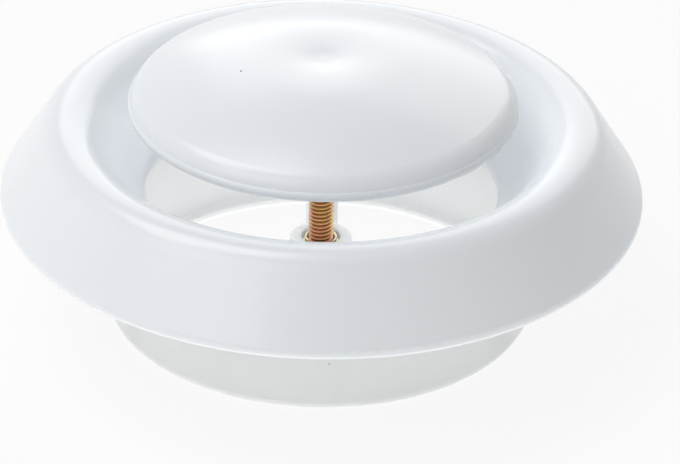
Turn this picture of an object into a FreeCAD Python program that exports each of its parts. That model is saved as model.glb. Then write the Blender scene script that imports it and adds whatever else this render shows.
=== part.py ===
"""Round vent cover: an extract-air disc valve for a 100 mm duct, standing face up on its spigot.

A dished disc hangs over the funnel of a wide ring. It is carried by an M6 screw that runs in the hub
of the spigot collar, so turning the disc opens or closes the gap round its edge.
Frame: millimetres, +Z up, origin at the middle of the spigot's foot.
"""
import FreeCAD, Part
import enum
import math
import os
import re
from collections import namedtuple

import Sketcher

FULL_TURN = 360
HEX_SIDES = 6
TOUCHING = 1e-6

# Driving sizes, in millimetres and degrees. Heights count from the spigot's foot.
SIZES = {
    # Ring: one sheet pressing.
    "ring_sheet": 1.0,
    "cone_width": 15.3,
    "seat_height": 28.15,
    "seat_width": 3.2,
    "rim_round": 1.8,
    "cone_slope": 57.6,
    "crest_overhang": 9.3,
    "crest_round": 7.3,
    "funnel_slope": 50.0,
    "throat_inset": 8.75,
    "lip_round": 4.0,
    "lip_roll": 40.0,
    # Spigot collar: one moulding with the spider and the hub.
    "spigot_radius": 49.4,
    "spigot_wall": 1.6,
    "foot_round": 2.5,
    "foot_lip_width": 3.85,
    "flare_round": 3.0,
    "flare_length": 5.0,
    "bond_gap": 0.1,
    "arm_count": 3,
    "arm_width": 7.6,
    "arm_thickness": 2.0,
    "rib_thickness": 2.2,
    "rib_hub_height": 6.5,
    "rib_wall_height": 2.5,
    "hub_radius": 7.2,
    "hub_bottom": 5.45,
    "hub_height": 11.85,
    "hub_edge": 0.7,
    "recess_radius": 4.4,
    "recess_depth": 1.2,
    "recess_chamfer": 0.25,
    # Brass bush in the hub.
    "insert_radius": 4.2,
    "insert_fit": 0.02,
    "pilot_radius": 3.7,
    "pilot_height": 1.0,
    "bore_chamfer": 0.35,
    # Screw and its nut.
    "screw_radius": 3.0,
    "screw_clearance": 0.06,
    "screw_foot_gap": 0.6,
    "screw_tip_chamfer": 0.8,
    "screw_head_radius": 4.0,
    "screw_head_height": 1.5,
    "nut_across_flats": 10.0,
    "nut_height": 3.2,
    "nut_chamfer_angle": 30.0,
    # Disc: one sheet pressing with a curled edge.
    "disc_sheet": 1.0,
    "disc_overlap": 4.05,
    "disc_height": 52.15,
    "bead_round": 1.3,
    "bead_proud": 0.35,
    "edge_round": 5.5,
    "edge_drop": 0.5,
    "dome_face": 66.0,
    "shoulder_radius": 11.5,
    "shoulder_round": 38.0,
    "dimple_round": 10.0,
    "dimple_flat": 1.2,
}

# Sizes that follow from the driving ones.
DERIVED = {
    "cone_face": "90 - cone_slope",
    "funnel_face": "90 + funnel_slope",
    "lip_end": "180 + lip_roll",
    # The spigot's radius sets those of the ring and the disc: the crest stands outside it, the throat
    # inside it, and the disc covers the throat.
    "crest_radius": "spigot_radius + crest_overhang",
    "flange_radius": "crest_radius + cone_width",
    "throat_radius": "spigot_radius - throat_inset",
    "disc_radius": "throat_radius + disc_overlap",
    "rim_radius": "flange_radius - rim_round",
    "rim_height": "seat_height + rim_round",
    "seat_inner_radius": "rim_radius - seat_width",
    # The cone touches the rim's and the crest's round, and the funnel the crest's and the lip's.
    "crest_height": "rim_height + ((rim_radius - crest_radius) * cos(cone_face)"
                    " + rim_round - crest_round) / sin(cone_face)",
    "lip_radius": "throat_radius + lip_round",
    "lip_height": "crest_height + ((crest_radius - lip_radius) * cos(funnel_face)"
                  " + crest_round - lip_round) / sin(funnel_face)",
    # The collar's flared top lies under the funnel, a bond line away from it.
    "flare_radius": "spigot_radius + flare_round",
    "flare_height": "crest_height + ((crest_radius - flare_radius) * cos(funnel_face) + crest_round"
                    " - ring_sheet - bond_gap - flare_round - spigot_wall) / sin(funnel_face)",
    "foot_bend_radius": "spigot_radius - foot_round",
    "foot_lip_radius": "spigot_radius - foot_lip_width",
    "spigot_mid_wall": "spigot_radius - spigot_wall / 2",
    "hub_top": "hub_bottom + hub_height",
    "recess_floor": "hub_top - recess_depth",
    "hub_bore": "insert_radius + insert_fit",
    "arm_root": "(hub_bore + hub_radius) / 2",
    "arm_top": "hub_bottom + arm_thickness",
    "thread_bore": "screw_radius + screw_clearance",
    "pilot_top": "recess_floor + pilot_height",
    "nut_bottom": "hub_bottom - nut_height",
    "nut_corner": f"nut_across_flats / 2 / cos({FULL_TURN // HEX_SIDES} / 2)",
    "nut_chamfer_depth": "(nut_corner - nut_across_flats / 2) * tan(nut_chamfer_angle)",
    "bead_radius": "disc_radius - bead_round",
    "edge_radius": "disc_radius - bead_proud - edge_round",
    "edge_height": "disc_height - edge_drop",
    "dome_radius": "edge_radius / cos(dome_face) + edge_round",
    "dome_height": "edge_height - (dome_radius - edge_round) * sin(dome_face)",
    "shoulder_turn": "asin(shoulder_radius / (dome_radius - shoulder_round)) / 1 deg",
    "shoulder_height": "dome_height + (dome_radius - shoulder_round) * cos(shoulder_turn)",
    "dimple_turn": "asin((shoulder_radius - dimple_flat) / (dimple_round + shoulder_round)) / 1 deg",
    "dimple_height": "shoulder_height + (dimple_round + shoulder_round) * cos(dimple_turn)",
    "dimple_floor": "dimple_height - dimple_round",
    "screw_top": "dimple_floor - disc_sheet",
}

# An arc of an outline: its centre and radius, and the angles where it starts and ends.
Arc = namedtuple("Arc", "centre radius start end")
# A bend of a sheet: an arc of its outer skin, which bulges outwards or is hollow.
Bend = namedtuple("Bend", "centre radius start end bulges")


class Axis(enum.IntEnum):
    """How a sketch numbers its own axes. Its origin is the start of the one across."""
    ACROSS = -1
    UP = -2


class Point(enum.IntEnum):
    """How a sketch numbers the points of an edge."""
    START = 1
    END = 2
    CENTRE = 3


def fill_sheet(doc):
    """Writes the driving and derived sizes into a spreadsheet, each cell with its alias."""
    sheet = doc.addObject("Spreadsheet::Sheet", "sizes")
    cells = {name: str(value) for name, value in SIZES.items()}
    cells.update({name: "=" + formula for name, formula in DERIVED.items()})
    for row, (name, content) in enumerate(cells.items(), start=1):
        sheet.set(f"A{row}", name)
        sheet.set(f"B{row}", content)
        sheet.setAlias(f"B{row}", name)
    doc.recompute()


def bound(expression):
    """An expression with each size's name pointed at its cell."""
    def to_cell(match):
        word = match.group()
        return "sizes." + word if word in SIZES or word in DERIVED else word
    return re.sub(r"[a-z_]+", to_cell, expression)


def origin_feature(body, role):
    """The body's own plane or axis with that role."""
    return next(feature for feature in body.Origin.OriginFeatures if feature.Role == role)


def new_body(doc, label):
    """A sub-part, named for its file."""
    body = doc.addObject("PartDesign::Body", label)
    body.Label = label
    return body


def new_sketch(body, name, plane, height=None):
    """A sketch on one of the body's own planes, raised by a size if one is given."""
    sketch = body.newObject("Sketcher::SketchObject", name)
    sketch.AttachmentSupport = (origin_feature(body, plane), [""])
    sketch.MapMode = "FlatFace"
    if height:
        sketch.setExpression("AttachmentOffset.Base.z", bound(height))
    return sketch


def worked_out(sketch, expression):
    """The number that an expression of sizes comes to."""
    return float(sketch.evalExpression(bound(expression)))


def place(sketch, point):
    """A point's two expressions worked out."""
    across, up = point
    return FreeCAD.Vector(worked_out(sketch, across), worked_out(sketch, up), 0)


def on_circle(centre, radius, angle):
    """The two expressions of a point at an angle on a circle."""
    across, up = centre
    return (f"{across} + ({radius}) * cos({angle})", f"{up} + ({radius}) * sin({angle})")


def fix_point(sketch, edge, end, point):
    """Ties one end of an edge to its two sizes, or to an axis where a size is nought."""
    spot = place(sketch, point)
    axes = (("DistanceX", spot.x, point[0], Axis.UP), ("DistanceY", spot.y, point[1], Axis.ACROSS))
    for kind, value, expression, axis in axes:
        if abs(value) < TOUCHING:
            sketch.addConstraint(Sketcher.Constraint("PointOnObject", edge, end, axis))
        else:
            distance = Sketcher.Constraint(kind, Axis.ACROSS, Point.START, edge, end, value)
            row = sketch.addConstraint(distance)
            sketch.setExpression(f"Constraints[{row}]", bound(expression))


def draw_outline(sketch, elements):
    """Draws a closed outline of corners and arcs, joined by straight lines, and ties it to the sizes."""
    corners, arcs = [], {}
    for element in elements:
        ends = [element]
        if isinstance(element, Arc):
            turns = (element.start, element.end)
            ends = [on_circle(element.centre, element.radius, turn) for turn in turns]
        for index, point in enumerate(ends):
            if index:
                arcs[len(corners) - 1] = element
            elif corners and (place(sketch, corners[-1]) - place(sketch, point)).Length < TOUCHING:
                continue
            corners.append(point)
    edges = []
    for index, corner in enumerate(corners):
        following = corners[(index + 1) % len(corners)]
        if index in arcs:
            edges.append(draw_arc(sketch, arcs[index]))
        else:
            line = Part.LineSegment(place(sketch, corner), place(sketch, following))
            edges.append((sketch.addGeometry(line), Point.START, Point.END))
    for index, (edge, start, end) in enumerate(edges):
        next_edge, next_start = edges[(index + 1) % len(edges)][:2]
        sketch.addConstraint(Sketcher.Constraint("Coincident", edge, end, next_edge, next_start))
        fix_point(sketch, edge, start, corners[index])


def draw_arc(sketch, arc):
    """Draws one arc with its radius tied to the sizes, and says which of its ends comes first."""
    start = worked_out(sketch, arc.start)
    end = worked_out(sketch, arc.end)
    radius = worked_out(sketch, arc.radius)
    circle = Part.Circle(place(sketch, arc.centre), FreeCAD.Vector(0, 0, 1), radius)
    low, high = sorted((math.radians(start), math.radians(end)))
    edge = sketch.addGeometry(Part.ArcOfCircle(circle, low, high))
    row = sketch.addConstraint(Sketcher.Constraint("Radius", edge, radius))
    sketch.setExpression(f"Constraints[{row}]", bound(arc.radius))
    if start < end:
        return edge, Point.START, Point.END
    return edge, Point.END, Point.START


def draw_circle(sketch, centre, radius):
    """Draws a whole circle, tied to the sizes."""
    size = worked_out(sketch, radius)
    circle = Part.Circle(place(sketch, centre), FreeCAD.Vector(0, 0, 1), size)
    edge = sketch.addGeometry(circle)
    row = sketch.addConstraint(Sketcher.Constraint("Radius", edge, size))
    sketch.setExpression(f"Constraints[{row}]", bound(radius))
    fix_point(sketch, edge, Point.CENTRE, centre)


def sheet_outline(bends, thickness, first=(), last=()):
    """The closed section of a sheet of even thickness that follows its bends.

    first and last are the sheet's straight ends, each as its outer and its inner corner.
    """
    outer, inner = [], []
    for bend in bends:
        inner_radius = f"{bend.radius} {'-' if bend.bulges else '+'} {thickness}"
        outer.append(Arc(bend.centre, bend.radius, bend.start, bend.end))
        inner.insert(0, Arc(bend.centre, inner_radius, bend.end, bend.start))
    return [*first[:1], *outer, *last, *inner, *first[1:]]


def revolve(body, sketch):
    """Turns a sketch drawn on the XZ plane once round the Z axis."""
    feature = body.newObject("PartDesign::Revolution", sketch.Name + "_turned")
    feature.Profile = sketch
    feature.ReferenceAxis = (sketch, ["V_Axis"])
    feature.Angle = FULL_TURN
    return feature


def pad(body, sketch, length, both_ways=False):
    """Raises a sketch by a size, or by half of it each way."""
    feature = body.newObject("PartDesign::Pad", sketch.Name + "_raised")
    feature.Profile = sketch
    feature.setExpression("Length", bound(length))
    if both_ways:
        feature.SideType = "Symmetric"
    return feature


def valve_ring(doc):
    """The wide ring: seat edge, cone, crest, funnel and rolled throat lip, pressed from one sheet."""
    body = new_body(doc, "valve_ring")
    section = new_sketch(body, "ring_section", "XZ_Plane")
    bends = [
        Bend(("rim_radius", "rim_height"), "rim_round", "-90", "cone_face", True),
        Bend(("crest_radius", "crest_height"), "crest_round", "cone_face", "funnel_face", True),
        Bend(("lip_radius", "lip_height"), "lip_round", "funnel_face", "lip_end", True),
    ]
    seat_edge = (("seat_inner_radius", "seat_height"), ("seat_inner_radius", "seat_height + ring_sheet"))
    draw_outline(section, sheet_outline(bends, "ring_sheet", first=seat_edge))
    revolve(body, section)
    return body


def mounting_collar(doc):
    """The spigot with its in-turned foot and flared top, and the spider of ribbed arms with the hub."""
    body = new_body(doc, "mounting_collar")
    wall = new_sketch(body, "wall_section", "XZ_Plane")
    bends = [
        Bend(("foot_bend_radius", "foot_round"), "foot_round", "-90", "0", True),
        Bend(("flare_radius", "flare_height"), "flare_round", "180", "funnel_face", False),
    ]
    foot_edge = (("foot_lip_radius", "0"), ("foot_lip_radius", "spigot_wall"))
    flare_end = []
    for skin in ("flare_round", "flare_round + spigot_wall"):
        across, up = on_circle(("flare_radius", "flare_height"), skin, "funnel_face")
        flare_end.append((f"{across} + flare_length * cos(funnel_slope)",
                          f"{up} + flare_length * sin(funnel_slope)"))
    draw_outline(wall, sheet_outline(bends, "spigot_wall", first=foot_edge, last=flare_end))
    revolve(body, wall)

    arm = new_sketch(body, "arm_strap", "XY_Plane", height="hub_bottom")
    draw_outline(arm, [
        ("-arm_width / 2", "arm_root"),
        ("arm_width / 2", "arm_root"),
        ("arm_width / 2", "spigot_mid_wall"),
        ("-arm_width / 2", "spigot_mid_wall"),
    ])
    arm_pad = pad(body, arm, "arm_thickness")
    rib = new_sketch(body, "arm_rib", "YZ_Plane")
    draw_outline(rib, [
        ("arm_root", "hub_bottom"),
        ("spigot_mid_wall", "hub_bottom"),
        ("spigot_mid_wall", "arm_top + rib_wall_height"),
        ("arm_root", "arm_top + rib_hub_height"),
    ])
    rib_pad = pad(body, rib, "rib_thickness", both_ways=True)
    spider = body.newObject("PartDesign::PolarPattern", "spider")
    spider.Originals = [arm_pad, rib_pad]
    spider.Axis = (origin_feature(body, "Z_Axis"), [""])
    spider.Angle = FULL_TURN
    spider.setExpression("Occurrences", bound("arm_count"))
    body.Tip = spider

    hub = new_sketch(body, "hub_section", "XZ_Plane")
    draw_outline(hub, [
        ("hub_bore", "hub_bottom"),
        ("hub_radius", "hub_bottom"),
        Arc(("hub_radius - hub_edge", "hub_top - hub_edge"), "hub_edge", "0", "90"),
        ("recess_radius + recess_chamfer", "hub_top"),
        ("recess_radius", "hub_top - recess_chamfer"),
        ("recess_radius", "recess_floor"),
        ("hub_bore", "recess_floor"),
    ])
    revolve(body, hub)
    return body


def hub_insert(doc):
    """The brass bush with a thin pilot ring that shows in the hub's recess."""
    body = new_body(doc, "hub_insert")
    section = new_sketch(body, "insert_section", "XZ_Plane")
    draw_outline(section, [
        ("thread_bore", "hub_bottom"),
        ("insert_radius", "hub_bottom"),
        ("insert_radius", "recess_floor"),
        ("pilot_radius", "recess_floor"),
        ("pilot_radius", "pilot_top"),
        ("thread_bore + bore_chamfer", "pilot_top"),
        ("thread_bore", "pilot_top - bore_chamfer"),
    ])
    revolve(body, section)
    return body


def lock_nut(doc):
    """The thin hexagon nut drawn up under the hub, with its corners chamfered on both faces."""
    body = new_body(doc, "lock_nut")
    hexagon = new_sketch(body, "nut_hexagon", "XY_Plane", height="nut_bottom")
    turns = [str(side * FULL_TURN // HEX_SIDES) for side in range(HEX_SIDES)]
    draw_outline(hexagon, [on_circle(("0", "0"), "nut_corner", turn) for turn in turns])
    draw_circle(hexagon, ("0", "0"), "thread_bore")
    pad(body, hexagon, "nut_height")
    doc.recompute()
    chamfers = new_sketch(body, "nut_chamfers", "XZ_Plane")
    for face, inward in (("hub_bottom", "-"), ("nut_bottom", "+")):
        draw_outline(chamfers, [
            ("nut_across_flats / 2", face),
            ("nut_corner", face),
            ("nut_corner", f"{face} {inward} nut_chamfer_depth"),
        ])
    groove = body.newObject("PartDesign::Groove", "nut_chamfers_cut")
    groove.Profile = chamfers
    groove.ReferenceAxis = (chamfers, ["V_Axis"])
    groove.Angle = FULL_TURN
    return body


def valve_disc(doc):
    """The dished disc: a dimple and a dome with a rounded edge, and the bead curled round its rim."""
    body = new_body(doc, "valve_disc")
    section = new_sketch(body, "disc_section", "XZ_Plane")
    bends = [
        Bend(("dimple_flat", "dimple_height"), "dimple_round", "-90", "dimple_turn - 90", False),
        Bend(("shoulder_radius", "shoulder_height"), "shoulder_round",
             "90 + dimple_turn", "90 - shoulder_turn", True),
        Bend(("0", "dome_height"), "dome_radius", "90 - shoulder_turn", "dome_face", True),
        Bend(("edge_radius", "edge_height"), "edge_round", "dome_face", "0", True),
    ]
    middle = (("0", "dimple_floor"), ("0", "dimple_floor - disc_sheet"))
    draw_outline(section, sheet_outline(bends, "disc_sheet", first=middle))
    revolve(body, section)
    bead = new_sketch(body, "disc_bead", "XZ_Plane")
    draw_circle(bead, ("bead_radius", "disc_height"), "bead_round")
    revolve(body, bead)
    return body


def adjusting_screw(doc):
    """The M6 screw under the disc, with its welded head. Its thread is too fine to model here."""
    body = new_body(doc, "adjusting_screw")
    section = new_sketch(body, "screw_section", "XZ_Plane")
    draw_outline(section, [
        ("0", "screw_foot_gap"),
        ("screw_radius - screw_tip_chamfer", "screw_foot_gap"),
        ("screw_radius", "screw_foot_gap + screw_tip_chamfer"),
        ("screw_radius", "screw_top - screw_head_height"),
        ("screw_head_radius", "screw_top - screw_head_height"),
        ("screw_head_radius", "screw_top"),
        ("0", "screw_top"),
    ])
    revolve(body, section)
    return body


def check_document(doc):
    """Stops if any object of the document failed."""
    for item in doc.Objects:
        if "Invalid" in item.State or "Error" in item.State:
            raise RuntimeError(f"{item.Label} failed: {item.State}")


def write_steps(bodies):
    """Checks every sub-part's solid and writes each to its own file."""
    for body in bodies:
        shape = body.Shape
        if shape.isNull() or not shape.isValid() or len(shape.Solids) != 1:
            raise RuntimeError(f"{body.Label} is not one valid solid")
    os.makedirs("parts", exist_ok=True)
    for body in bodies:
        body.Shape.exportStep(f"parts/{body.Label}.step")
        box = body.Shape.BoundBox
        print(f"{body.Label}: volume {body.Shape.Volume:.0f} mm3, z {box.ZMin:.2f} to {box.ZMax:.2f}")


def main():
    doc = FreeCAD.newDocument("round_vent_cover")
    fill_sheet(doc)
    makers = (valve_ring, mounting_collar, hub_insert, lock_nut, valve_disc, adjusting_screw)
    bodies = [make(doc) for make in makers]
    doc.recompute()
    check_document(doc)
    write_steps(bodies)


main()
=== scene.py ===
"""Dresses a round vent cover: a white disc valve that stands face up on its spigot in a pale studio."""

import math

import bpy
from mathutils import Matrix, Vector


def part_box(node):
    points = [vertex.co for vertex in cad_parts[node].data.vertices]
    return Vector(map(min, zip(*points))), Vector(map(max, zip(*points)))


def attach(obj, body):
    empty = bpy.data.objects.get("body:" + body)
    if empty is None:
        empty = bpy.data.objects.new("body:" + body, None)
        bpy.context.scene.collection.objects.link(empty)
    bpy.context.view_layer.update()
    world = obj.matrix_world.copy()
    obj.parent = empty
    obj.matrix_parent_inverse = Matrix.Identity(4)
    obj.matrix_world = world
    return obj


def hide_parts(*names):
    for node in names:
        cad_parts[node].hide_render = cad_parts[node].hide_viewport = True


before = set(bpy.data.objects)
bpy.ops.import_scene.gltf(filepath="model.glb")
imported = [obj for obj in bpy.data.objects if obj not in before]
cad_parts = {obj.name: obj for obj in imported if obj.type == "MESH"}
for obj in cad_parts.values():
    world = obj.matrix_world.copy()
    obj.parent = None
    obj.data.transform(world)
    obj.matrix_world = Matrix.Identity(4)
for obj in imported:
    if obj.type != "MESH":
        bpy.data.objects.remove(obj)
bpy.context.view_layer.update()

bl_info = {
    "name": "Round Vent Cover",
    "version": (1, 0, 0),
    "blender": (4, 5, 0),
    "location": "3D View > Sidebar > Vent Cover",
    "description": "Finishes, screw thread and studio of a round disc valve",
    "category": "Object",
}

MM = 0.001
IMAGE_WIDTH = 680
SENSOR_WIDTH = 36.0
SHARP_EDGE = math.radians(30)
# A wave texture of scale one turns by this many radians in a metre.
WAVE_TURN = 20


def linear(hex_colour):
    """An sRGB hex colour as linear red, green and blue."""
    channels = [int(hex_colour[start:start + 2], 16) / 255 for start in (0, 2, 4)]
    return tuple(c / 12.92 if c <= 0.04045 else ((c + 0.055) / 1.055) ** 2.4 for c in channels)


def opaque(colour):
    """A linear colour with full alpha."""
    return (*colour, 1.0)


def colour_property(name, description, hex_colour):
    """A colour that a user can change."""
    return bpy.props.FloatVectorProperty(
        name=name, description=description, subtype="COLOR", size=3, min=0, max=1, default=linear(hex_colour)
    )


def length_property(name, description, millimetres):
    """A length that a user can change."""
    return bpy.props.FloatProperty(
        name=name, description=description, unit="LENGTH", precision=5, default=millimetres * MM
    )


def point_property(name, description, millimetres):
    """A point in the vent cover's frame that a user can change."""
    return bpy.props.FloatVectorProperty(
        name=name, description=description, subtype="XYZ", unit="LENGTH", precision=5,
        default=[coordinate * MM for coordinate in millimetres]
    )


def angle_property(name, description, degrees):
    """An angle that a user can change."""
    return bpy.props.FloatProperty(
        name=name, description=description, subtype="ANGLE", default=math.radians(degrees)
    )


def share_property(name, description, share):
    """A share from nought to one that a user can change."""
    return bpy.props.FloatProperty(
        name=name, description=description, subtype="FACTOR", min=0, max=1, default=share
    )


class FinishSettings(bpy.types.PropertyGroup):
    coat_colour: colour_property("Coat", "White powder coat of the ring and the disc", "EAEDF1")
    coat_thin: colour_property("Thin coat", "The coat where it lies a little thinner", "E6EAEE")
    coat_roughness: share_property("Coat roughness", "How far the coat spreads a reflection", 0.23)
    coat_unevenness: share_property("Coat unevenness", "How far the coat's roughness strays", 0.03)
    coat_cloud: length_property("Coat cloud", "Width of the coat's thick and thin patches", 30.0)
    coat_peel: length_property("Coat ripple", "Width of the coat's orange-peel ripples", 1.6)
    coat_peel_height: length_property("Coat ripple height", "Height of the orange-peel ripples", 0.003)
    plastic_colour: colour_property("Plastic", "White plastic of the collar and its hub", "DEDFDF")
    plastic_flow: colour_property("Plastic flow", "The plastic where the melt flowed together", "DADBDB")
    plastic_roughness: share_property("Plastic roughness", "How far the plastic spreads a reflection", 0.42)
    plastic_unevenness: share_property("Plastic unevenness", "How far the plastic's roughness strays", 0.05)
    plastic_patch: length_property("Plastic patch", "Width of a patch of the melt's flow", 20.0)
    plastic_grain: length_property("Plastic grain", "Width of the mould's fine grain", 0.7)
    plastic_grain_height: length_property("Plastic grain height", "Height of the mould's fine grain", 0.003)
    plastic_depth: length_property("Plastic depth", "How deep light spreads inside the plastic", 4.0)
    brass_colour: colour_property("Brass", "Turned bush in the hub", "E0D2B4")
    brass_mark: length_property("Brass mark", "From one tool mark on the brass to the next", 0.3)
    brass_bright: share_property("Brass, bright", "Roughness of the brass between tool marks", 0.22)
    brass_dull: share_property("Brass, dull", "Roughness of the brass in a tool mark", 0.34)
    plate_gold: colour_property("Plate, gold", "Yellow of the passivated film", "DCC084")
    plate_copper: colour_property("Plate, copper", "Reddish patches in the film", "E0AA8E")
    # Painted shade: a dark colour that stands in for the shade in the roots of the thread.
    plate_root_shade: colour_property("Plate, root", "Dull film in the roots of the thread", "94683F")
    plate_patch: length_property("Plate patch", "Width of a patch of the plate's colours", 3.0)
    plate_gold_until: share_property("Plate, gold until", "Patch level up to which the film is gold", 0.35)
    plate_copper_from: share_property("Plate, copper from", "Patch level from which the film is copper", 0.6)
    plate_bright: share_property("Plate, bright", "Roughness of the plate where it is fresh", 0.22)
    plate_dull: share_property("Plate, dull", "Roughness of the plate where it is worn", 0.42)
    fleck_width: length_property("Fleck width", "Width of a fleck", 0.5)
    disc_fleck: point_property("Disc fleck", "Dark fleck on the disc's face", (-18.67, -6.78, 63.43))
    disc_fleck_colour: colour_property("Disc fleck colour", "Grit baked into the coat", "2A2726")
    collar_fleck: point_property("Collar fleck", "Faint fleck on the collar's front", (2.6, -49.33, 12.59))
    collar_fleck_colour: colour_property("Collar fleck colour", "Speck moulded into the plastic", "B4B5B3")


class ScrewSettings(bpy.types.PropertyGroup):
    radius: length_property("Radius", "Outer radius of the thread", 2.9)
    pitch: length_property("Pitch", "Rise of the thread in one turn", 1.0)
    depth: length_property("Depth", "Depth of the thread", 0.56)
    crest_flat: length_property("Crest flat", "Width of the flat on the thread's crest", 0.125)
    root_flat: length_property("Root flat", "Width of the flat at the thread's root", 0.25)
    root_sink: length_property("Root sink", "How far the thread's root is sunk in the core", 0.05)
    head_radius: length_property("Head radius", "Radius of the welded head", 4.0)
    head_height: length_property("Head height", "Height of the welded head", 1.5)
    sides: bpy.props.IntProperty(name="Sides", description="Faces round the screw", default=40, min=8)


class StudioSettings(bpy.types.PropertyGroup):
    floor_width: length_property("Floor width", "Width of the square floor", 8000)
    floor_drop: length_property("Floor drop", "From the foot of the collar down to the floor", 0.05)
    table_drop: length_property("Light table drop", "From the foot of the collar down to that lamp", 0.03)
    floor_colour: colour_property("Floor", "Plain pale floor", "EAEAE8")
    floor_glow: share_property("Floor glow", "How far the floor turns to white where it is seen", 0.88)
    ambient: bpy.props.FloatProperty(
        name="Ambient", description="Strength of the even light from all round", default=0.24, min=0
    )
    camera_target: point_property("Camera target", "Point at the middle of the picture", (4.42, 0, 18.22))
    camera_distance: length_property("Camera distance", "From the target to the camera", 986.67)
    camera_elevation: angle_property("Camera elevation", "Height of the camera above the horizon", 29.88)
    camera_roll: angle_property("Camera roll", "Turn of the camera about its own line of sight", 1.22)
    focal_pixels: bpy.props.FloatProperty(
        name="Focal length", description="Focal length in pixels of the picture", default=4249.07, min=1
    )


def add_node(tree, kind, links=None, **settings):
    """Adds a node with its settings; links gives sockets their values or the outputs that feed them."""
    node = tree.nodes.new(kind)
    for name, value in settings.items():
        setattr(node, name, value)
    for socket, value in (links or {}).items():
        sources = value if isinstance(value, list) else [value]
        for source in sources:
            if isinstance(source, bpy.types.NodeSocket):
                tree.links.new(source, node.inputs[socket])
            else:
                node.inputs[socket].default_value = source
    return node


def new_material(name):
    """A material with its tree and its main shader."""
    material = bpy.data.materials.new(name)
    material.use_nodes = True
    return material, material.node_tree, material.node_tree.nodes["Principled BSDF"]


def flecked(tree, place, colour, spot, fleck, width):
    """A colour with one small fleck at a spot."""
    away = add_node(tree, "ShaderNodeVectorMath", {0: place, 1: spot}, operation="DISTANCE")
    inside = add_node(
        tree, "ShaderNodeMath", {0: away.outputs["Value"], 1: width / 2}, operation="LESS_THAN"
    )
    mix = add_node(tree, "ShaderNodeMix", {
        "Factor": inside.outputs["Value"], "A": colour, "B": opaque(fleck),
    }, data_type="RGBA")
    return mix.outputs["Result"]


def powder_coat(finish):
    """Baked white powder coat: a cool white with a soft gloss, which a faint orange peel blurs a little."""
    material, tree, shader = new_material("white_powder_coat")
    place = add_node(tree, "ShaderNodeTexCoord").outputs["Object"]
    cloud = add_node(tree, "ShaderNodeTexNoise", {"Vector": place, "Scale": 1 / finish.coat_cloud})
    tone = add_node(tree, "ShaderNodeMix", {
        "Factor": cloud.outputs["Fac"],
        "A": opaque(finish.coat_colour), "B": opaque(finish.coat_thin),
    }, data_type="RGBA")
    gloss = add_node(tree, "ShaderNodeMapRange", {
        "Value": cloud.outputs["Fac"],
        "To Min": finish.coat_roughness - finish.coat_unevenness,
        "To Max": finish.coat_roughness + finish.coat_unevenness,
    })
    peel = add_node(
        tree, "ShaderNodeTexNoise", {"Vector": place, "Scale": 1 / finish.coat_peel, "Detail": 1.0}
    )
    ripple = add_node(
        tree, "ShaderNodeBump", {"Height": peel.outputs["Fac"], "Distance": finish.coat_peel_height}
    )
    colour = flecked(
        tree, place, tone.outputs["Result"],
        finish.disc_fleck, finish.disc_fleck_colour, finish.fleck_width
    )
    tree.links.new(colour, shader.inputs["Base Color"])
    tree.links.new(gloss.outputs["Result"], shader.inputs["Roughness"])
    tree.links.new(ripple.outputs["Normal"], shader.inputs["Normal"])
    shader.inputs["IOR"].default_value = 1.5
    return material


def moulded_plastic(finish):
    """Moulded white plastic: warmer and duller than the coat, and it lets a little light through."""
    material, tree, shader = new_material("moulded_white_plastic")
    place = add_node(tree, "ShaderNodeTexCoord").outputs["Object"]
    flow = add_node(
        tree, "ShaderNodeTexNoise", {"Vector": place, "Scale": 1 / finish.plastic_patch, "Detail": 3.0}
    )
    tone = add_node(tree, "ShaderNodeMix", {
        "Factor": flow.outputs["Fac"],
        "A": opaque(finish.plastic_colour), "B": opaque(finish.plastic_flow),
    }, data_type="RGBA")
    grain = add_node(tree, "ShaderNodeTexNoise", {"Vector": place, "Scale": 1 / finish.plastic_grain})
    gloss = add_node(tree, "ShaderNodeMapRange", {
        "Value": flow.outputs["Fac"],
        "To Min": finish.plastic_roughness - finish.plastic_unevenness,
        "To Max": finish.plastic_roughness + finish.plastic_unevenness,
    })
    bump = add_node(
        tree, "ShaderNodeBump", {"Height": grain.outputs["Fac"], "Distance": finish.plastic_grain_height}
    )
    colour = flecked(
        tree, place, tone.outputs["Result"],
        finish.collar_fleck, finish.collar_fleck_colour, finish.fleck_width
    )
    tree.links.new(colour, shader.inputs["Base Color"])
    tree.links.new(gloss.outputs["Result"], shader.inputs["Roughness"])
    tree.links.new(bump.outputs["Normal"], shader.inputs["Normal"])
    shader.inputs["IOR"].default_value = 1.49
    shader.inputs["Subsurface Weight"].default_value = 1.0
    shader.inputs["Subsurface Radius"].default_value = (1.0, 1.0, 1.0)
    shader.inputs["Subsurface Scale"].default_value = finish.plastic_depth
    return material


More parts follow.
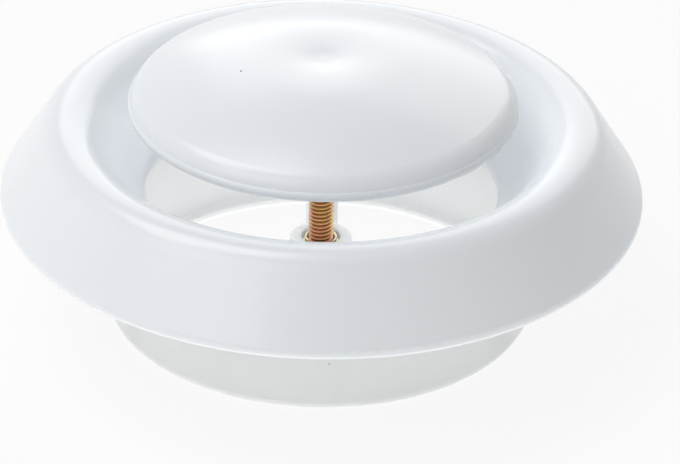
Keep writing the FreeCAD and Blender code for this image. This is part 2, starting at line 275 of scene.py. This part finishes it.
def passivated_zinc(finish, screw):
    """Yellow-passivated zinc on steel: a golden film with coppery patches, and shade painted darker into the
    roots of a thread.
    """
    material, tree, shader = new_material("yellow_passivated_zinc")
    place = add_node(tree, "ShaderNodeTexCoord").outputs["Object"]
    patch = add_node(tree, "ShaderNodeTexNoise", {"Vector": place, "Scale": 1 / finish.plate_patch})
    redness = add_node(tree, "ShaderNodeMapRange", {
        "Value": patch.outputs["Fac"],
        "From Min": finish.plate_gold_until, "From Max": finish.plate_copper_from,
    })
    film = add_node(tree, "ShaderNodeMix", {
        "Factor": redness.outputs["Result"],
        "A": opaque(finish.plate_gold), "B": opaque(finish.plate_copper),
    }, data_type="RGBA")
    across = add_node(tree, "ShaderNodeVectorMath", {0: place, 1: (1, 1, 0)}, operation="MULTIPLY")
    out = add_node(tree, "ShaderNodeVectorMath", {0: across.outputs["Vector"]}, operation="LENGTH")
    # Painted shade: the film turns to the dark root colour towards the roots of the thread, where shade
    # falls.
    crest = add_node(tree, "ShaderNodeMapRange", {
        "Value": out.outputs["Value"],
        "From Min": screw.radius - screw.depth, "From Max": screw.radius - screw.depth / 2,
    })
    film_with_root_shade = add_node(tree, "ShaderNodeMix", {
        "Factor": crest.outputs["Result"],
        "A": opaque(finish.plate_root_shade), "B": film.outputs["Result"],
    }, data_type="RGBA")
    gloss = add_node(tree, "ShaderNodeMapRange", {
        "Value": patch.outputs["Fac"], "To Min": finish.plate_bright, "To Max": finish.plate_dull,
    })
    tree.links.new(film_with_root_shade.outputs["Result"], shader.inputs["Base Color"])
    tree.links.new(gloss.outputs["Result"], shader.inputs["Roughness"])
    shader.inputs["Metallic"].default_value = 1.0
    return material


def turned_brass(finish):
    """Turned brass: a bright pale yellow metal with fine tool marks round it."""
    material, tree, shader = new_material("turned_brass")
    place = add_node(tree, "ShaderNodeTexCoord").outputs["Object"]
    marks = add_node(
        tree, "ShaderNodeTexWave", {"Vector": place, "Scale": math.tau / (WAVE_TURN * finish.brass_mark)},
        wave_type="RINGS", rings_direction="Z"
    )
    gloss = add_node(tree, "ShaderNodeMapRange", {
        "Value": marks.outputs["Fac"], "To Min": finish.brass_bright, "To Max": finish.brass_dull,
    })
    shader.inputs["Base Color"].default_value = opaque(finish.brass_colour)
    shader.inputs["Metallic"].default_value = 1.0
    tree.links.new(gloss.outputs["Result"], shader.inputs["Roughness"])
    return material


def dress(node, material):
    """Gives a solid its finish."""
    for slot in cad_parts[node].material_slots:
        slot.material = material


class VENT_OT_coat_pressings(bpy.types.Operator):
    """Coats the ring and the disc"""
    bl_idname = "vent.coat_pressings"
    bl_label = "Coat the ring and disc"

    def execute(self, context):
        material = powder_coat(context.scene.vent_finish)
        for node in ("valve_ring", "valve_disc"):
            dress(node, material)
        return {"FINISHED"}


class VENT_OT_finish_collar(bpy.types.Operator):
    """Finishes the moulded collar and the metal in its hub"""
    bl_idname = "vent.finish_collar"
    bl_label = "Finish the collar and hub"

    def execute(self, context):
        finish = context.scene.vent_finish
        dress("mounting_collar", moulded_plastic(finish))
        dress("hub_insert", turned_brass(finish))
        dress("lock_nut", passivated_zinc(finish, context.scene.vent_screw))
        return {"FINISHED"}


def thread_tree():
    """A screw in one closed skin: a core and a head, joined with a ridge swept along a right-hand spiral."""
    number, count = "NodeSocketFloat", "NodeSocketInt"
    tree = bpy.data.node_groups.new("screw_thread", "GeometryNodeTree")
    inputs = {
        "Core radius": number, "Core length": number, "Core middle": number,
        "Head radius": number, "Head height": number, "Head middle": number,
        "Ridge start": number, "Ridge rise": number, "Ridge turns": number, "Ridge middle": number,
        "Ridge depth": number, "Ridge foot": number, "Ridge crest": number,
        "Sides": count, "Material": "NodeSocketMaterial",
    }
    for label, kind in inputs.items():
        tree.interface.new_socket(label, in_out="INPUT", socket_type=kind)
    tree.interface.new_socket("Geometry", in_out="OUTPUT", socket_type="NodeSocketGeometry")
    value = add_node(tree, "NodeGroupInput").outputs

    path = add_node(tree, "GeometryNodeCurveSpiral", {
        "Resolution": value["Sides"], "Rotations": value["Ridge turns"], "Height": value["Ridge rise"],
        "Start Radius": value["Ridge middle"], "End Radius": value["Ridge middle"], "Reverse": True,
    })
    upright = add_node(tree, "GeometryNodeSetCurveNormal", {"Curve": path.outputs["Curve"]}, mode="Z_UP")
    section = add_node(tree, "GeometryNodeCurvePrimitiveQuadrilateral", {
        "Height": value["Ridge depth"], "Bottom Width": value["Ridge foot"],
        "Top Width": value["Ridge crest"], "Offset": 0.0,
    }, mode="TRAPEZOID")
    facing_out = add_node(tree, "GeometryNodeTransform", {
        "Geometry": section.outputs["Curve"], "Rotation": (0, 0, math.radians(-90)),
    })
    ridge = add_node(tree, "GeometryNodeCurveToMesh", {
        "Curve": upright.outputs["Curve"], "Profile Curve": facing_out.outputs["Geometry"],
        "Fill Caps": True,
    })
    core = add_node(tree, "GeometryNodeMeshCylinder", {
        "Vertices": value["Sides"], "Radius": value["Core radius"], "Depth": value["Core length"],
    })
    head = add_node(tree, "GeometryNodeMeshCylinder", {
        "Vertices": value["Sides"], "Radius": value["Head radius"], "Depth": value["Head height"],
    })
    raised = []
    for piece, height in ((ridge, "Ridge start"), (core, "Core middle"), (head, "Head middle")):
        lift = add_node(tree, "ShaderNodeCombineXYZ", {"Z": value[height]})
        moved = add_node(tree, "GeometryNodeTransform", {
            "Geometry": piece.outputs["Mesh"], "Translation": lift.outputs["Vector"],
        })
        raised.append(moved.outputs["Geometry"])
    skin = add_node(
        tree, "GeometryNodeMeshBoolean", {"Mesh": raised}, operation="UNION", solver="MANIFOLD"
    )
    real = add_node(tree, "GeometryNodeRealizeInstances", {"Geometry": skin.outputs["Mesh"]})
    plated = add_node(tree, "GeometryNodeSetMaterial", {
        "Geometry": real.outputs["Geometry"], "Material": value["Material"],
    })
    add_node(tree, "NodeGroupOutput", {"Geometry": plated.outputs["Geometry"]})
    return tree


def grown(name, tree, values):
    """A plain mesh piece grown by a geometry tree from the values of its inputs."""
    piece = bpy.data.objects.new(name, bpy.data.meshes.new(name))
    bpy.context.scene.collection.objects.link(piece)
    modifier = piece.modifiers.new(name, "NODES")
    modifier.node_group = tree
    for item in tree.interface.items_tree:
        if item.in_out == "INPUT":
            modifier[item.identifier] = values[item.name]
    graph = bpy.context.evaluated_depsgraph_get()
    mesh = bpy.data.meshes.new_from_object(piece.evaluated_get(graph))
    piece.modifiers.remove(modifier)
    piece.data = mesh
    if not mesh.polygons:
        raise RuntimeError(f"{name} grew no faces")
    mesh.shade_smooth()
    mesh.set_sharp_from_angle(angle=SHARP_EDGE)
    return piece


class VENT_OT_cut_thread(bpy.types.Operator):
    """Makes the adjusting screw with its thread"""
    bl_idname = "vent.cut_thread"
    bl_label = "Cut the screw's thread"

    def execute(self, context):
        screw = context.scene.vent_screw
        low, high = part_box("adjusting_screw")
        neck = high.z - screw.head_height
        core_radius = screw.radius - screw.depth
        ridge_depth = screw.depth + screw.root_sink
        ridge_foot = screw.pitch - screw.root_flat
        ridge_start = low.z + ridge_foot / 2
        ridge_rise = neck - ridge_start
        rod = grown("threaded_screw", thread_tree(), {
            "Core radius": core_radius, "Core length": neck - low.z, "Core middle": (low.z + neck) / 2,
            "Head radius": screw.head_radius, "Head height": screw.head_height,
            "Head middle": neck + screw.head_height / 2,
            "Ridge start": ridge_start, "Ridge rise": ridge_rise, "Ridge turns": ridge_rise / screw.pitch,
            "Ridge middle": screw.radius - ridge_depth / 2, "Ridge depth": ridge_depth,
            "Ridge foot": ridge_foot, "Ridge crest": screw.crest_flat,
            "Sides": screw.sides, "Material": passivated_zinc(context.scene.vent_finish, screw),
        })
        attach(rod, "screw")
        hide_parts("adjusting_screw")
        return {"FINISHED"}


def area_lamp(name, shape, width, height, power):
    """A flat lamp that the camera doesn't see."""
    lamp = bpy.data.lights.new(name, "AREA")
    lamp.shape = shape
    lamp.size = width
    lamp.size_y = height
    lamp.energy = power
    holder = bpy.data.objects.new(name, lamp)
    holder.visible_camera = False
    bpy.context.scene.collection.objects.link(holder)
    return holder


def light_stand(name, azimuth, elevation, distance, width, height, power):
    """A soft lamp on a stand, aimed at the vent cover; azimuth nought is straight behind the camera."""
    across, up = math.radians(azimuth), math.radians(elevation)
    away = Vector((math.sin(across) * math.cos(up), -math.cos(across) * math.cos(up), math.sin(up)))
    stand = area_lamp(name, "RECTANGLE", width, height, power)
    stand.location = away * distance
    stand.rotation_euler = away.to_track_quat("Z", "Y").to_euler()


def light_level(name, level, width, radiance, down=False):
    """A level round lamp on the axis, which no reflection shows: a light table or a lamp in the airway."""
    face = math.pi * (width / 2) ** 2
    lamp = area_lamp(name, "DISK", width, width, radiance * math.pi * face)
    lamp.location = (0, 0, level)
    lamp.rotation_euler = (0 if down else math.pi, 0, 0)
    lamp.visible_glossy = False


def set_lamps(studio):
    """Soft lamps round the vent cover, a light table at its foot, and two lamps in its dim airway."""
    light_stand("key_softbox", azimuth=256, elevation=67, distance=1.4, width=0.66, height=0.88, power=7.0)
    light_stand("fill_softbox", azimuth=314, elevation=46, distance=1.5, width=1.2, height=1.0, power=5.8)
    light_stand("side_panel", azimuth=60, elevation=3, distance=1.5, width=1.0, height=0.15, power=0.9)
    light_stand("overhead_softbox", azimuth=0, elevation=88, distance=1.5, width=0.8, height=0.8, power=1.2)
    light_stand("back_panel", azimuth=171, elevation=29, distance=1.5, width=1.35, height=1.2, power=6.9)
    light_level("table_light", level=-studio.table_drop, width=1.6, radiance=0.66)
    light_level("disc_light", level=34 * MM, width=50 * MM, radiance=1.75)
    light_level("hub_light", level=27 * MM, width=85 * MM, radiance=0.4, down=True)


def seen_directly(tree):
    """One for rays from the camera, a reflection or glass, and nought for the light that falls on things."""
    ray = add_node(tree, "ShaderNodeLightPath").outputs
    mirrored = add_node(
        tree, "ShaderNodeMath", {0: ray["Is Glossy Ray"], 1: ray["Is Transmission Ray"]}, operation="MAXIMUM"
    )
    seen = add_node(
        tree, "ShaderNodeMath", {0: ray["Is Camera Ray"], 1: mirrored.outputs["Value"]}, operation="MAXIMUM"
    )
    return seen.outputs["Value"]


def lay_floor(studio):
    """A wide pale floor that the camera sees burnt out towards white, with the shadow left on it."""
    bpy.ops.mesh.primitive_plane_add(size=studio.floor_width, location=(0, 0, -studio.floor_drop))
    floor = bpy.context.object
    floor.name = "studio_floor"
    material, tree, shader = new_material("matt_floor_paper")
    shader.inputs["Base Color"].default_value = opaque(studio.floor_colour)
    shader.inputs["Roughness"].default_value = 0.9
    shader.inputs["Specular IOR Level"].default_value = 0.0
    share = add_node(
        tree, "ShaderNodeMath", {0: seen_directly(tree), 1: studio.floor_glow}, operation="MULTIPLY"
    )
    glow = add_node(tree, "ShaderNodeEmission", {"Color": (1, 1, 1, 1), "Strength": 1.0})
    burnt = add_node(tree, "ShaderNodeMixShader", {
        "Fac": share.outputs["Value"], 1: shader.outputs["BSDF"], 2: glow.outputs["Emission"],
    })
    tree.links.new(burnt.outputs["Shader"], tree.nodes["Material Output"].inputs["Surface"])
    floor.data.materials.append(material)


def light_world(studio):
    """Even light from all round; the camera and reflections see white."""
    world = bpy.data.worlds.new("white_studio")
    world.use_nodes = True
    tree = world.node_tree
    strength = add_node(tree, "ShaderNodeMapRange", {
        "Value": seen_directly(tree), "To Min": studio.ambient, "To Max": 1.0,
    })
    background = tree.nodes["Background"]
    background.inputs["Color"].default_value = (1, 1, 1, 1)
    tree.links.new(strength.outputs["Result"], background.inputs["Strength"])
    bpy.context.scene.world = world


def set_camera(studio):
    """The camera at the photograph's angle."""
    lens = bpy.data.cameras.new("studio_camera")
    lens.sensor_fit = "HORIZONTAL"
    lens.sensor_width = SENSOR_WIDTH
    lens.lens = studio.focal_pixels * SENSOR_WIDTH / IMAGE_WIDTH
    camera = bpy.data.objects.new("studio_camera", lens)
    bpy.context.scene.collection.objects.link(camera)
    up = studio.camera_elevation
    back = Vector((0, -math.cos(up), math.sin(up)))
    level = (-back).to_track_quat("-Z", "Y").to_matrix().to_4x4()
    roll = Matrix.Rotation(studio.camera_roll, 4, "Z")
    place = Vector(studio.camera_target) + back * studio.camera_distance
    camera.matrix_world = Matrix.Translation(place) @ level @ roll
    bpy.context.scene.camera = camera


class VENT_OT_set_stage(bpy.types.Operator):
    """Sets the floor, the lights and the camera"""
    bl_idname = "vent.set_stage"
    bl_label = "Set the studio"

    def execute(self, context):
        studio = context.scene.vent_studio
        lay_floor(studio)
        light_world(studio)
        set_lamps(studio)
        set_camera(studio)
        context.scene.view_settings.view_transform = "Standard"
        return {"FINISHED"}


class VENT_PT_sidebar(bpy.types.Panel):
    """Lists the steps that dress the vent cover"""
    bl_idname = "VENT_PT_sidebar"
    bl_label = "Round vent cover"
    bl_space_type = "VIEW_3D"
    bl_region_type = "UI"
    bl_category = "Vent Cover"

    def draw(self, context):
        for step in STEPS:
            self.layout.operator(step.bl_idname)
        for settings in SETTINGS:
            box = self.layout.box()
            for name in SETTINGS[settings].__annotations__:
                box.prop(getattr(context.scene, settings), name)


SETTINGS = {
    "vent_finish": FinishSettings,
    "vent_screw": ScrewSettings,
    "vent_studio": StudioSettings,
}
STEPS = (VENT_OT_coat_pressings, VENT_OT_finish_collar, VENT_OT_cut_thread, VENT_OT_set_stage)
CLASSES = (*SETTINGS.values(), *STEPS, VENT_PT_sidebar)


def register():
    for item in CLASSES:
        bpy.utils.register_class(item)
    for name, group in SETTINGS.items():
        setattr(bpy.types.Scene, name, bpy.props.PointerProperty(type=group))


def unregister():
    for name in SETTINGS:
        delattr(bpy.types.Scene, name)
    for item in reversed(CLASSES):
        bpy.utils.unregister_class(item)


def main():
    register()
    bpy.ops.vent.coat_pressings()
    bpy.ops.vent.finish_collar()
    bpy.ops.vent.cut_thread()
    bpy.ops.vent.set_stage()


if __name__ == "__main__":
    main()
